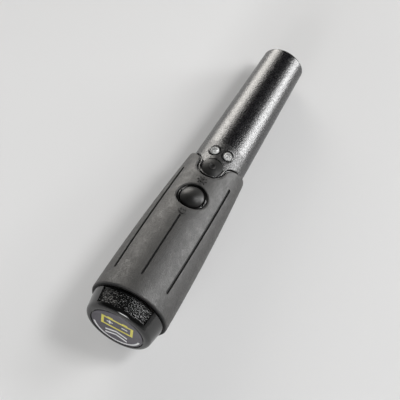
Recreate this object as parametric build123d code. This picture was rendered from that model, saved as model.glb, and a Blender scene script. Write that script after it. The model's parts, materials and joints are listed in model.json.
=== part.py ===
import os
from math import asin, atan2, cos, radians, sin, sqrt

from build123d import *

# A pinpointing metal detector: a round tapered probe on a rubber-sleeved handle.
# The pieces are modelled about the X axis, with X = 0 at the sleeve's rear edge and the
# probe's tip towards +X. The buttons are on the +Z side.

# Lengths along the axis
sleeve_length = 99.3
collar_length = 9.7
probe_length = 78.5
cap_length = 12.5
cap_gap = 1.0
shell_rear = 0.3

# Outline: the butt's radius follows from the battery and the walls round it
sleeve_front_radius = 17.06
sleeve_bulge = 0.985
collar_taper = 0.25
probe_taper = 2.45
cap_step = 1.8
cap_taper = 1.8

# Walls
sleeve_wall = 2.0
shell_wall = 1.8
probe_wall = 1.8
probe_floor = 2.0
tube_wall = 1.2
mouth_wall = 1.265
spigot_wall = 1.7

# Edge rounding
probe_edge_round = 1.2
cap_edge_round = 2.7
sleeve_edge_round = 0.8
button_edge_round = 0.8

# Clearances: glued or clamped fits, moving fits, and soft or loose seats
glue_gap = 0.05
slide_gap = 0.1
loose_gap = 0.3

# Power button, in the sleeve's round hole
power_share = 0.673
power_radius = 6.5
power_hole_radius = 8.5
power_hole_pinch = 0.7
power_seat_depth = 3.1
power_seat_wall = 3.2
power_skirt = 1.7
power_dome = 2.8

# Light button, in the collar's tongue
light_setback = 8.4
light_radius = 6.0
light_edge_drop = 2.95
light_seat_wall = 3.6
light_dome = 1.3
dimple_radius = 1.6
dimple_depth = 0.35

# Both buttons
button_travel = 0.5
button_flange = 1.2
button_flange_height = 1.3
stem_radius = 2.0

# Notch in the sleeve round the light button
notch_rim = 2.0
notch_setback = 0.6
notch_lead = 0.5
notch_lobe_radius = 5.6
notch_shoulder_radius = 2.0
notch_side_gap = 0.8

# Grip grooves in the sleeve: on the underside, which has no button, the middle one is like its neighbours
side_groove_width = 1.8
middle_groove_width = 1.1
groove_depth = 1.0
groove_rear = 11.4
side_groove_setback = 14.8
middle_groove_setback = 46.8
side_groove_rear_turn = 43.8
side_groove_front_turn = 51.0

# Lamps
lamp_lead_in = 2.7
lamp_y = 4.1
lamp_radius = 2.5
lamp_stand_out = 0.9
lamp_body = 5.5
lamp_flange = 0.4
lamp_flange_height = 1.0
lamp_cup_radius = 3.8
lamp_cup_floor_radius = 3.2
lamp_cup_depth = 1.3
lamp_boss_wall = 1.2
lamp_boss_height = 3.2
lamp_lead_radius = 0.25
lamp_lead_spacing = 2.54

# Nose of the shells, which the probe tube slides over
nose_length = 9.0
nose_wall = 1.5
nose_ramp = 4.0

# Battery, a 9 V block
battery_length = 46.0
battery_width = 26.5
battery_height = 17.5
battery_corner = 2.5
terminal_spacing = 12.95
terminal_height = 2.5
stud_radius = 2.85
socket_radius = 3.7

# Battery cap, liner and contact plate
cap_floor = 3.5
cap_spigot_length = 10.8
pad_thickness = 1.2
label_radius = 15.0
label_thickness = 0.4
label_groove_width = 0.7
label_groove_depth = 0.9
panel_half_angle = 46.0
panel_depth = 0.9
panel_lip = 2.6
seal_section_radius = 0.6
tube_floor = 1.4
tube_wire_hole_radius = 9.0
snap_thickness = 1.6
snap_radius = 13.0

# Circuit board
board_setback = 3.9
board_overhang = 4.0
board_width = 18.0
board_thickness = 1.6
board_top = 2.0
board_screw_inset = 3.5
board_screw_radius = 1.0
board_post_radius = 2.5
board_screw_length = 8.0

# Push switches
switch_side = 6.0
switch_height = 3.5
plunger_radius = 1.75
power_plunger_height = 7.5
light_plunger_height = 5.0
plunger_seat = 2.3

# Pieces on the board
chip_length = 10.0
chip_width = 4.0
chip_height = 1.5
chip_shift = 5.4
chip_pins = 8
chip_pin_pitch = 1.27
chip_pin_width = 0.45
chip_pin_reach = 1.0
chip_pin_height = 0.6
capacitor_radius = 2.5
capacitor_height = 7.0
capacitor_inset = 10.0
capacitor_y = 6.2
buzzer_radius = 6.0
buzzer_height = 5.5
buzzer_port_radius = 1.0
buzzer_port_depth = 1.5

# Vibration motor, under the board
motor_setback = 3.8
motor_length = 11.0
motor_radius = 3.0
motor_axis_drop = 4.4
motor_shaft_radius = 0.5
motor_shaft_reach = 4.2
weight_radius = 2.6
weight_thickness = 3.0
weight_gap = 0.7
clip_length = 7.0
clip_width = 8.0

# Shell screws
shell_screw_inset = 6.0
shell_screw_setback = 8.9
shell_screw_y = 11.8
shell_screw_radius = 1.1
shell_screw_head_radius = 2.0
shell_screw_head_height = 2.0
shell_screw_seat = -5.0
shell_screw_end = 6.0
shell_boss_radius = 2.5

# Search coil
core_radius = 5.0
former_setback = 11.0
former_tip_gap = 3.5
former_wall = 1.2
former_flange = 2.0
transmit_winding_radius = 8.6
receive_winding_radius = 8.2
coil_lead_y = 3.0
lead_radius = 0.4
coil_lead_lap = 5.0
battery_lead_y = 4.0
battery_lead_lap = 3.0

# Radii worked out from the ones above, from the battery outwards
shell_inset = sleeve_wall + shell_wall
battery_half_diagonal = (
    sqrt((battery_width / 2 - battery_corner) ** 2 + (battery_height / 2 - battery_corner) ** 2)
    + battery_corner
)
tube_bore = battery_half_diagonal + loose_gap
spigot_bore = tube_bore
spigot_radius = spigot_bore + spigot_wall
mouth_bore = spigot_radius + slide_gap
sleeve_rear_radius = mouth_bore + mouth_wall + slide_gap + shell_inset
sleeve_middle_radius = (sleeve_rear_radius + sleeve_front_radius) / 2 + sleeve_bulge
collar_front_radius = sleeve_front_radius - sleeve_wall - collar_taper
probe_end_radius = collar_front_radius - probe_taper
cap_shoulder_radius = sleeve_rear_radius - cap_step
cap_rear_radius = cap_shoulder_radius - cap_taper
notch_radius = light_radius + notch_rim

# The sleeve's side view is one arc through its rear, middle and front radii
barrel = ThreePointArc(
    (0, sleeve_rear_radius),
    (sleeve_length / 2, sleeve_middle_radius),
    (sleeve_length, sleeve_front_radius),
)
barrel_centre = barrel.arc_center
barrel_arc_radius = barrel.radius


def sleeve_radius(x):
    return barrel_centre.Y + sqrt(barrel_arc_radius**2 - (x - barrel_centre.X) ** 2)


# Places along the axis
collar_end = sleeve_length + collar_length
nose_front = collar_end + nose_length
probe_end = collar_end + probe_length
power_x = power_share * sleeve_length
light_x = sleeve_length - light_setback
notch_x = light_x - notch_setback
lamp_x = sleeve_length + lamp_lead_in
side_groove_front = sleeve_length - side_groove_setback
middle_groove_front = sleeve_length - middle_groove_setback
cap_shoulder_x = -cap_gap
cap_rear_x = -cap_length
cap_floor_x = cap_rear_x + cap_floor
spigot_front = cap_shoulder_x + cap_spigot_length
mouth_floor = spigot_front + loose_gap
battery_rear = cap_floor_x + pad_thickness + loose_gap
battery_front = battery_rear + battery_length
snap_rear = battery_front + terminal_height + slide_gap
snap_front = snap_rear + snap_thickness
tube_front = snap_front + tube_floor
board_rear = tube_front + board_setback
board_front = collar_end + board_overhang
between_switches_x = (power_x + light_x) / 2
board_screw_x = (board_rear + board_screw_inset, between_switches_x)
buzzer_x = sum(board_screw_x) / 2
capacitor_x = board_rear + capacitor_inset
motor_rear = between_switches_x + board_post_radius + motor_setback
motor_front = motor_rear + motor_length
shell_screw_x = (board_rear + shell_screw_inset, light_x - shell_screw_setback)
former_rear = collar_end + former_setback
former_front = probe_end - former_tip_gap
former_middle_x = (former_rear + former_front) / 2 - former_flange

# Heights above the axis
board_bottom = board_top - board_thickness
power_plunger_top = board_top + power_plunger_height
light_plunger_top = board_top + light_plunger_height
motor_axis_z = board_bottom - motor_axis_drop
power_seat_height = sleeve_radius(power_x) - power_seat_depth
power_seat_underside = power_seat_height - power_seat_wall
light_edge_height = sleeve_radius(light_x) - light_edge_drop
light_seat_underside = light_edge_height - light_seat_wall
reach = 4 * sleeve_rear_radius


def barrel_edge(start, end, depth):
    """The sleeve's arc from one X to another, moved inwards by a depth."""
    stations = (start, (start + end) / 2, end)
    return ThreePointArc(*[(x, sleeve_radius(x) - depth) for x in stations])


def probe_radius(x):
    """The collar's and the tube's common taper in front of the collar line."""
    share = (x - collar_end) / (probe_end - collar_end)
    return collar_front_radius + share * (probe_end_radius - collar_front_radius)


def turned(*edges):
    """A solid of revolution about the X axis from a closed profile."""
    return revolve(make_face(Curve() + list(edges)), Axis.X)


def turned_ring(start, end, inner, outer):
    ring = Pos(start, 0, 0) * Rot(0, 90, 0) * extrude(Circle(outer), end - start)
    bore = Pos(start, 0, 0) * Rot(0, 90, 0) * extrude(Circle(inner), end - start)
    return ring - bore


def rod(start, end, radius, y=0.0, z=0.0):
    return Pos(start, y, z) * Rot(0, 90, 0) * extrude(Circle(radius), end - start)


def post(x, y, bottom, top, radius):
    return Pos(x, y, bottom) * extrude(Circle(radius), top - bottom)


def block(start, end, width, bottom, top, y=0.0):
    size = (end - start, width, top - bottom)
    return Pos((start + end) / 2, y, (bottom + top) / 2) * Box(*size)


# Grip sleeve


def sleeve_barrel():
    inner = sleeve_wall - glue_gap
    front_line = Line(
        (sleeve_length, sleeve_radius(sleeve_length)),
        (sleeve_length, sleeve_radius(sleeve_length) - inner),
    )
    rear_line = Line((0, sleeve_radius(0) - inner), (0, sleeve_radius(0)))
    return turned(
        barrel_edge(0, sleeve_length, 0),
        front_line,
        barrel_edge(sleeve_length, 0, inner),
        rear_line,
    )


def notch_tool():
    """The U-shaped notch in plan: a half circle round the button, then flared shoulders."""
    side = Vector(notch_x + notch_lead, notch_radius)
    lobe_centre = side + Vector(0, notch_lobe_radius)
    shoulder_end = Vector(sleeve_length, sleeve_front_radius - notch_side_gap)
    shoulder_centre = shoulder_end - Vector(notch_shoulder_radius, 0)
    run = shoulder_centre - lobe_centre
    turn = atan2(run.Y, run.X) + asin((notch_lobe_radius - notch_shoulder_radius) / run.length)
    middle_turn = (turn + radians(90)) / 2
    lobe_middle = lobe_centre + notch_lobe_radius * Vector(sin(turn / 2), -cos(turn / 2))
    lobe_end = lobe_centre + notch_lobe_radius * Vector(sin(turn), -cos(turn))
    flank_end = shoulder_centre + notch_shoulder_radius * Vector(sin(turn), -cos(turn))
    shoulder_middle = shoulder_centre + notch_shoulder_radius * Vector(sin(middle_turn), -cos(middle_turn))
    clear = Vector(sleeve_length + notch_radius, shoulder_end.Y)
    half = [
        Line((notch_x, notch_radius), side),
        ThreePointArc(side, lobe_middle, lobe_end),
        Line(lobe_end, flank_end),
        ThreePointArc(flank_end, shoulder_middle, shoulder_end),
        Line(shoulder_end, clear),
    ]
    other_half = [edge.mirror(Plane.XZ) for edge in half]
    bottom = ThreePointArc(
        (notch_x, notch_radius), (notch_x - notch_radius, 0), (notch_x, -notch_radius)
    )
    front = Line(clear, (clear.X, -clear.Y))
    outline = make_face(Curve() + half + other_half + [bottom, front])
    return extrude(outline, reach)


def power_column(bottom, top, gap):
    """A column that fits the hole round the power button, shorter along the axis than across it."""
    outline = Ellipse(power_hole_radius - power_hole_pinch - gap, power_hole_radius - gap)
    return Pos(power_x, 0, bottom) * extrude(outline, top - bottom)


def groove_tool(rear, front, width):
    """A round-ended slot from one point of the sleeve's surface to another."""
    rear_point = Vector(*rear)
    front_point = Vector(*front)
    middle = (rear_point + front_point) / 2
    outwards = Vector(0, middle.Y, middle.Z)
    run = front_point - rear_point
    plane = Plane(origin=middle, x_dir=run, z_dir=outwards - run * (outwards.dot(run) / run.dot(run)))
    slot = plane * SlotOverall(run.length + width, width)
    return extrude(slot, groove_depth * 4, both=True)


def on_sleeve(x, turn, side):
    """A point of the sleeve's surface at a given X, turned from the top or from the underside."""
    radius = sleeve_radius(x)
    return (x, radius * sin(radians(turn)), side * radius * cos(radians(turn)))


def is_outer_rim(edge):
    """Whether an edge is on the sleeve's outside and isn't the seam along its length."""
    middle = edge.position_at(0.5)
    is_outside = sqrt(middle.Y**2 + middle.Z**2) > sleeve_radius(middle.X) - sleeve_wall / 2
    return is_outside and edge.bounding_box().size.X < sleeve_length / 2


def make_grip_sleeve():
    sleeve = sleeve_barrel() - notch_tool()
    sleeve -= power_column(0, reach, 0)
    sleeve = fillet(filter(is_outer_rim, sleeve.edges()), sleeve_edge_round)
    core = turned(
        barrel_edge(0, sleeve_length, groove_depth),
        Line((sleeve_length, sleeve_radius(sleeve_length) - groove_depth), (sleeve_length, 0)),
        Line((sleeve_length, 0), (0, 0)),
        Line((0, 0), (0, sleeve_radius(0) - groove_depth)),
    )
    for side, middle_front, middle_width in (
        (1, middle_groove_front, middle_groove_width),
        (-1, side_groove_front, side_groove_width),
    ):
        for hand in (1, -1):
            rear = on_sleeve(groove_rear, hand * side_groove_rear_turn, side)
            front = on_sleeve(side_groove_front, hand * side_groove_front_turn, side)
            sleeve -= groove_tool(rear, front, side_groove_width) - core
        rear = on_sleeve(groove_rear, 0, side)
        front = on_sleeve(middle_front, 0, side)
        sleeve -= groove_tool(rear, front, middle_width) - core
    return sleeve


# Handle shells


def shell_outside():
    """The solid outline of both shells together, from the rear mouth to the nose."""
    shoulder = sleeve_radius(sleeve_length) - sleeve_wall
    nose_rear_radius = probe_radius(collar_end) - probe_wall - glue_gap
    nose_front_radius = probe_radius(nose_front) - probe_wall - glue_gap
    outline = Polyline(
        (sleeve_length, shoulder),
        (collar_end, collar_front_radius),
        (collar_end, nose_rear_radius),
        (nose_front, nose_front_radius),
        (nose_front, 0),
        (shell_rear, 0),
        (shell_rear, sleeve_radius(shell_rear) - sleeve_wall),
    )
    return turned(barrel_edge(shell_rear, sleeve_length, sleeve_wall), outline)


def shell_inside():
    shoulder = sleeve_radius(sleeve_length) - shell_inset
    nose_rear_radius = probe_radius(collar_end) - probe_wall - glue_gap - nose_wall
    nose_front_radius = probe_radius(nose_front) - probe_wall - glue_gap - nose_wall
    outline = Polyline(
        (sleeve_length, shoulder),
        (collar_end - shell_wall - nose_ramp, collar_front_radius - shell_wall),
        (collar_end - shell_wall, nose_rear_radius),
        (nose_front, nose_front_radius),
        (nose_front, 0),
        (shell_rear, 0),
        (shell_rear, sleeve_radius(shell_rear) - shell_inset),
    )
    return turned(barrel_edge(shell_rear, sleeve_length, shell_inset), outline)


def lamp_frame(hand):
    """A plane at the collar's surface whose normal is the lamp's own radial axis."""
    radius = sleeve_radius(sleeve_length) - sleeve_wall
    height = sqrt(radius**2 - lamp_y**2)
    return Plane(origin=(lamp_x, hand * lamp_y, height), x_dir=(1, 0, 0), z_dir=(0, hand * lamp_y, height))


def make_upper_shell(outside, inside):
    shell = outside - inside
    shell -= power_column(power_seat_height, reach, slide_gap)
    shell += power_column(power_seat_underside, power_seat_height, slide_gap)
    light_boss = post(light_x, 0, light_seat_underside, reach, light_radius + 2 * button_flange) & outside
    shell += light_boss
    for hand in (1, -1):
        frame = lamp_frame(hand)
        boss = extrude(frame * Circle(lamp_radius + lamp_boss_wall), -lamp_boss_height)
        shell += boss & outside
    for x in shell_screw_x:
        for hand in (1, -1):
            boss = post(x, hand * shell_screw_y, 0, reach, shell_boss_radius)
            shell += boss & outside
    shell = split(shell, Plane.XY, Keep.TOP)
    for x, radius, underside in (
        (power_x, power_radius, power_seat_underside),
        (light_x, light_radius, light_seat_underside),
    ):
        shell -= post(x, 0, 0, reach, radius + slide_gap)
        shell -= post(x, 0, 0, underside, radius + button_flange + slide_gap)
    for hand in (1, -1):
        frame = lamp_frame(hand)
        cup = Plane(frame.origin - frame.z_dir * lamp_cup_depth, frame.x_dir, frame.z_dir)
        shell -= loft([cup * Circle(lamp_cup_floor_radius), frame * Circle(lamp_cup_radius)])
        shell -= extrude(frame * Circle(lamp_cup_radius), lamp_radius)
        shell -= extrude(frame * Circle(lamp_radius + glue_gap), -2 * lamp_boss_height)
    for x in shell_screw_x:
        for hand in (1, -1):
            hole_end = shell_screw_end + slide_gap
            shell -= post(x, hand * shell_screw_y, 0, hole_end, shell_screw_radius + glue_gap)
    return shell


def make_lower_shell(outside, inside):
    shell = split(outside - inside, Plane.XY, Keep.BOTTOM)
    for x in board_screw_x:
        shell += post(x, 0, -reach, board_bottom, board_post_radius) & outside
    for x in shell_screw_x:
        for hand in (1, -1):
            boss = post(x, hand * shell_screw_y, -reach, 0, shell_boss_radius)
            shell += boss & outside
    for x in board_screw_x:
        depth = board_top - board_screw_length - slide_gap
        shell -= post(x, 0, depth, board_bottom, board_screw_radius + glue_gap)
    for x in shell_screw_x:
        for hand in (1, -1):
            y = hand * shell_screw_y
            shell -= post(x, y, shell_screw_seat, 0, shell_screw_radius + slide_gap)
            shell -= post(x, y, -reach, shell_screw_seat, shell_screw_head_radius + slide_gap)
    return shell


# Screws


def make_shell_screws():
    screws = []
    for x in shell_screw_x:
        for hand in (1, -1):
            y = hand * shell_screw_y
            head_bottom = shell_screw_seat - shell_screw_head_height
            shank = post(x, y, shell_screw_seat, shell_screw_end, shell_screw_radius)
            head = post(x, y, head_bottom, shell_screw_seat, shell_screw_head_radius)
            screws.append(head + shank)
    return screws


def make_board_screws():
    screws = []
    for x in board_screw_x:
        shank = post(x, 0, board_top - board_screw_length, board_top, board_screw_radius)
        head = post(x, 0, board_top, board_top + board_screw_radius, 2 * board_screw_radius)
        screws.append(head + shank)
    return screws


# Probe tube and search coil


def make_probe_tube():
    floor_x = probe_end - probe_floor
    outside = Polyline(
        (collar_end, 0),
        (collar_end, probe_radius(collar_end)),
        (probe_end, probe_radius(probe_end)),
        (probe_end, 0),
        close=True,
    )
    inside = Polyline(
        (collar_end, 0),
        (collar_end, probe_radius(collar_end) - probe_wall),
        (floor_x, probe_radius(floor_x) - probe_wall),
        (floor_x, 0),
        close=True,
    )
    body = turned(outside)
    tip_edge = body.edges().filter_by(GeomType.CIRCLE).sort_by(Axis.X)[-1]
    return fillet(tip_edge, probe_edge_round) - turned(inside)


def former_flange_disc(start):
    end = start + former_flange
    return rod(start, end, probe_radius(end) - probe_wall - slide_gap)


def make_coil_former():
    bore = core_radius + slide_gap
    former = rod(former_rear, former_front, bore + former_wall)
    for start in (former_rear, former_middle_x, former_front - former_flange):
        former += former_flange_disc(start)
    return former - rod(former_rear + former_flange / 2, former_front, bore)


def make_winding(start, end, radius):
    barrel_radius = core_radius + slide_gap + former_wall + glue_gap
    return turned_ring(start + glue_gap, end - glue_gap, barrel_radius, radius)


# Buttons and switches


def button(x, radius, edge_height, dome_height, seat_underside, plunger_top):
    """A domed cap on a skirt, a flange that stays under the seat, and a stem to the switch."""
    flange_top = seat_underside - slide_gap
    flange_bottom = flange_top - button_flange_height
    top = edge_height + dome_height
    dome_radius = (radius**2 + dome_height**2) / (2 * dome_height)
    half_way = radius / 2
    half_way_height = top - dome_radius + sqrt(dome_radius**2 - half_way**2)
    side = Polyline(
        (0, top),
        (0, plunger_top),
        (stem_radius, plunger_top),
        (stem_radius, flange_bottom),
        (radius + button_flange, flange_bottom),
        (radius + button_flange, flange_top),
        (radius, flange_top),
        (radius, edge_height),
    )
    dome = ThreePointArc((radius, edge_height), (half_way, half_way_height), (0, top))
    outline = make_face(Curve() + [side, dome])
    corner = outline.vertices().sort_by_distance((radius, edge_height, 0))[0]
    rounded = fillet(corner, button_edge_round)
    return Pos(x, 0, 0) * revolve(Plane.XZ * rounded, Axis.Z)


def make_power_button():
    edge_height = power_seat_height + power_skirt
    return button(power_x, power_radius, edge_height, power_dome, power_seat_underside, power_plunger_top)


def make_light_button():
    cap = button(
        light_x, light_radius, light_edge_height, light_dome, light_seat_underside, light_plunger_top
    )
    dimple_ball = (dimple_radius**2 + dimple_depth**2) / (2 * dimple_depth)
    dimple_centre = light_edge_height + light_dome - dimple_depth + dimple_ball
    return cap - Pos(light_x, 0, dimple_centre) * Sphere(dimple_ball)


def make_switch(x):
    body = block(x - switch_side / 2, x + switch_side / 2, switch_side, board_top, board_top + switch_height)
    seat = board_top + plunger_seat - button_travel - loose_gap
    return body - post(x, 0, seat, reach, plunger_radius + slide_gap)


def make_plunger(x, top):
    return post(x, 0, board_top + plunger_seat, top, plunger_radius)


# Lamps


def make_lamps():
    lamps = []
    for hand in (1, -1):
        frame = lamp_frame(hand)
        centre = frame.origin + frame.z_dir * (lamp_stand_out - lamp_radius)
        base = Plane(centre, frame.x_dir, frame.z_dir)
        body = extrude(base * Circle(lamp_radius), -lamp_body)
        dome = Pos(*centre) * Sphere(lamp_radius)
        rim_plane = Plane(centre - frame.z_dir * lamp_body, frame.x_dir, frame.z_dir)
        rim = extrude(rim_plane * Circle(lamp_radius + lamp_flange), lamp_flange_height)
        lamps.append(body + dome + rim)
    return lamps


def make_lamp_leads():
    leads = []
    for hand in (1, -1):
        frame = lamp_frame(hand)
        foot = frame.origin + frame.z_dir * (lamp_stand_out - lamp_radius - lamp_body)
        for step in (-1, 1):
            start = foot + frame.x_dir * (step * lamp_lead_spacing / 2)
            wire = extrude(Plane(start, frame.x_dir, frame.z_dir) * Circle(lamp_lead_radius), -reach)
            leads.append(split(wire, Plane.XY.offset(board_top), Keep.TOP))
    return leads


# Board and the pieces on it


def make_circuit_board():
    board = block(board_rear, board_front, board_width, board_bottom, board_top)
    for x in board_screw_x:
        board -= post(x, 0, board_bottom, board_top, board_screw_radius + slide_gap)
    return board


def make_control_chip():
    bottom = board_top + chip_pin_height / 2
    start = between_switches_x - chip_length / 2
    chip = block(start, start + chip_length, chip_width, bottom, bottom + chip_height, chip_shift)
    pins_length = (chip_pins - 1) * chip_pin_pitch
    for index in range(chip_pins):
        x = between_switches_x - pins_length / 2 + index * chip_pin_pitch
        width = chip_width + 2 * chip_pin_reach
        pin_top = board_top + chip_pin_height
        chip += block(x - chip_pin_width / 2, x + chip_pin_width / 2, width, board_top, pin_top, chip_shift)
    return chip


def make_capacitors():
    cans = []
    for hand in (1, -1):
        can = post(capacitor_x, hand * capacitor_y, board_top, board_top + capacitor_height, capacitor_radius)
        cans.append(fillet(can.edges().sort_by(Axis.Z)[-1], capacitor_radius / 5))
    return cans


def make_buzzer():
    bottom = board_bottom - buzzer_height
    body = post(buzzer_x, 0, bottom, board_bottom, buzzer_radius)
    return body - post(buzzer_x, 0, bottom, bottom + buzzer_port_depth, buzzer_port_radius)


# Vibration motor


def make_vibration_motor():
    body = rod(motor_rear, motor_front, motor_radius, z=motor_axis_z)
    bore_start = motor_front - motor_shaft_reach
    return body - rod(bore_start, motor_front, motor_shaft_radius + glue_gap, z=motor_axis_z)


def make_motor_clip():
    start = motor_rear + (motor_length - clip_length) / 2
    saddle = block(start, start + clip_length, clip_width, motor_axis_z, board_bottom)
    return saddle - rod(motor_rear, motor_front, motor_radius + glue_gap, z=motor_axis_z)


def make_motor_shaft():
    start = motor_front - motor_shaft_reach + slide_gap
    return rod(start, motor_front + motor_shaft_reach, motor_shaft_radius, z=motor_axis_z)


def make_motor_weight():
    start = motor_front + weight_gap
    disc = rod(start, start + weight_thickness, weight_radius, z=motor_axis_z)
    half = split(disc, Plane.XY.offset(motor_axis_z), Keep.BOTTOM)
    hub = rod(start, start + weight_thickness, 2 * motor_shaft_radius, z=motor_axis_z)
    bore = rod(start, start + weight_thickness, motor_shaft_radius + glue_gap / 2, z=motor_axis_z)
    return half + hub - bore


# Battery and its liner


def make_battery():
    section = Rot(0, 90, 0) * RectangleRounded(battery_height, battery_width, battery_corner)
    return Pos(battery_rear, 0, 0) * extrude(section, battery_length)


def make_battery_terminals():
    top = battery_front + terminal_height
    stud = rod(battery_front, top, stud_radius, y=terminal_spacing / 2)
    socket = rod(battery_front, top, socket_radius, y=-terminal_spacing / 2)
    cup = rod(battery_front + terminal_height / 2, top, stud_radius, y=-terminal_spacing / 2)
    return [stud, socket - cup]


def make_battery_snap():
    return rod(snap_rear, snap_front, snap_radius)


def make_battery_tube():
    mouth_radius = sleeve_radius(mouth_floor) - shell_inset - slide_gap
    collar_radius = sleeve_radius(tube_front) - shell_inset - slide_gap
    tube = rod(shell_rear, mouth_floor + tube_wall, mouth_radius)
    tube += rod(mouth_floor, tube_front, tube_bore + tube_wall)
    tube += rod(snap_front, tube_front, collar_radius)
    tube -= rod(shell_rear, mouth_floor, mouth_bore)
    tube -= rod(shell_rear, snap_front, tube_bore)
    return tube - rod(shell_rear, tube_front, tube_wire_hole_radius)


# Battery cap


def make_battery_cap():
    outline = Polyline(
        (spigot_front, 0),
        (spigot_front, spigot_radius),
        (cap_shoulder_x, spigot_radius),
        (cap_shoulder_x, cap_shoulder_radius),
        (cap_rear_x, cap_rear_radius),
        (cap_rear_x, 0),
        close=True,
    )
    cap = turned(outline)
    rear_edge = cap.edges().filter_by(GeomType.CIRCLE).sort_by(Axis.X)[0]
    cap = fillet(rear_edge, cap_edge_round)
    cap -= rod(cap_floor_x, spigot_front, spigot_bore)
    cap -= rod(cap_rear_x, cap_rear_x + label_thickness, label_radius)
    groove_floor = cap_rear_x + label_groove_depth
    cap -= turned_ring(cap_rear_x, groove_floor, label_radius, label_radius + label_groove_width)
    panel = make_face(
        Polyline(
            (cap_rear_x + panel_lip, cap_rear_radius - panel_depth),
            (cap_shoulder_x, cap_shoulder_radius - panel_depth),
            (cap_shoulder_x, reach),
            (cap_rear_x + panel_lip, reach),
            close=True,
        )
    )
    sweep = revolve(panel, Axis.X, 2 * panel_half_angle)
    for centre in (90, 270):
        cap -= Rot(centre - panel_half_angle, 0, 0) * sweep
    return cap


def make_cap_seal():
    ring_radius = spigot_radius + seal_section_radius + glue_gap
    centre_x = cap_shoulder_x + seal_section_radius + glue_gap
    return revolve(Pos(centre_x, ring_radius) * Circle(seal_section_radius), Axis.X)


def make_battery_pad():
    return rod(cap_floor_x, cap_floor_x + pad_thickness, spigot_bore - loose_gap)


def make_end_label():
    return rod(cap_rear_x, cap_rear_x + label_thickness, label_radius)


# Wires


def make_battery_leads():
    height = board_top + lead_radius + glue_gap
    end = board_rear + battery_lead_lap
    return [rod(snap_front, end, lead_radius, hand * battery_lead_y, height) for hand in (1, -1)]


def make_coil_leads():
    height = board_top + lead_radius + glue_gap
    start = board_front - coil_lead_lap
    return [rod(start, former_rear, lead_radius, hand * coil_lead_y, height) for hand in (1, -1)]


outside = shell_outside()
inside = shell_inside()
pieces = {
    "probe_tube": make_probe_tube(),
    "upper_shell": make_upper_shell(outside, inside),
    "lower_shell": make_lower_shell(outside, inside),
    "shell_screws": make_shell_screws(),
    "grip_sleeve": make_grip_sleeve(),
    "power_button": make_power_button(),
    "light_button": make_light_button(),
    "power_switch": make_switch(power_x),
    "power_plunger": make_plunger(power_x, power_plunger_top),
    "light_switch": make_switch(light_x),
    "light_plunger": make_plunger(light_x, light_plunger_top),
    "lamp_leds": make_lamps(),
    "lamp_leads": make_lamp_leads(),
    "circuit_board": make_circuit_board(),
    "board_screws": make_board_screws(),
    "control_chip": make_control_chip(),
    "capacitors": make_capacitors(),
    "buzzer": make_buzzer(),
    "vibration_motor": make_vibration_motor(),
    "motor_clip": make_motor_clip(),
    "motor_shaft": make_motor_shaft(),
    "motor_weight": make_motor_weight(),
    "ferrite_core": rod(former_rear + former_flange / 2, former_front, core_radius),
    "coil_former": make_coil_former(),
    "transmit_winding": make_winding(former_rear + former_flange, former_middle_x, transmit_winding_radius),
    "receive_winding": make_winding(
        former_middle_x + former_flange, former_front - former_flange, receive_winding_radius
    ),
    "coil_leads": make_coil_leads(),
    "battery": make_battery(),
    "battery_terminals": make_battery_terminals(),
    "battery_snap": make_battery_snap(),
    "battery_tube": make_battery_tube(),
    "battery_leads": make_battery_leads(),
    "battery_cap": make_battery_cap(),
    "cap_seal": make_cap_seal(),
    "battery_pad": make_battery_pad(),
    "end_label": make_end_label(),
}

# The part's own frame: the origin is under the middle of its length, on the surface it lies on
to_part_frame = Pos(-(probe_end + cap_rear_x) / 2, 0, sleeve_rear_radius)

os.makedirs("parts", exist_ok=True)
for name, shape in pieces.items():
    solids = shape if isinstance(shape, list) else [shape]
    placed = [to_part_frame * solid for solid in solids]
    export_step(Compound(placed) if len(placed) > 1 else placed[0], f"parts/{name}.step")
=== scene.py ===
import json
import math

import bmesh
import bpy
import numpy as np
from mathutils import Matrix, Vector


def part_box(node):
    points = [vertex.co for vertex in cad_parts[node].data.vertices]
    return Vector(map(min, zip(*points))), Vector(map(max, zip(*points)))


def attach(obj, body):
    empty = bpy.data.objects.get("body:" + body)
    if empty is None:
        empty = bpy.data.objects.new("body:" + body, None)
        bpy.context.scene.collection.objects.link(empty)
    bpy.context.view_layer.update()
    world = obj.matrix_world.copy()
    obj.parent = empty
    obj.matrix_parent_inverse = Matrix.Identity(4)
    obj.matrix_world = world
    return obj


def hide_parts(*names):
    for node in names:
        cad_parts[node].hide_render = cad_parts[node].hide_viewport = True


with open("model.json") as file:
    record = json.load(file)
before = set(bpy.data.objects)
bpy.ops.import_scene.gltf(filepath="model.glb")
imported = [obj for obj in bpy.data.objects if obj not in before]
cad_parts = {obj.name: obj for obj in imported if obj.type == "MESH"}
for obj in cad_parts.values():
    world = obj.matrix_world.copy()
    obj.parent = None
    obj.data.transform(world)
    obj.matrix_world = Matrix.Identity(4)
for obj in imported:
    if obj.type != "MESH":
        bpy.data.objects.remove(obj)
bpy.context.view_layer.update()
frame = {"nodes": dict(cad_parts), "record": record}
nodes = frame["nodes"]
scene = bpy.context.scene
scene.view_settings.view_transform = "Standard"
print("frame loaded,", len(nodes), "nodes")


# Every piece is worked out in millimetres about the detector's axis, with x = 0 at the
# sleeve's rear edge, z up through the buttons and y to the photograph's left.
mm = 0.001  # in metres
sleeveShape = {"frameX": -87.5, "front": 99.3, "frontRadius": 17.06, "bulge": 0.985, "wall": 2.0}
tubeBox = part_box("probe_tube")
# the sleeve's rear radius is the height of the axis above the frame's origin
butt = (tubeBox[0][2] + tubeBox[1][2]) / 2 / mm
axisPlace = np.array([sleeveShape["frameX"], 0.0, butt])


def toFrame(points):
    return (np.asarray(points, float) + axisPlace) * mm


def arcThrough(points):
    # centre and radius of the circle through three points
    points = np.array(points)
    lines = np.column_stack([2 * points, np.ones(3)])
    centreX, centreY, rest = np.linalg.solve(lines, (points ** 2).sum(1))
    return centreX, centreY, math.sqrt(rest + centreX ** 2 + centreY ** 2)


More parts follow.
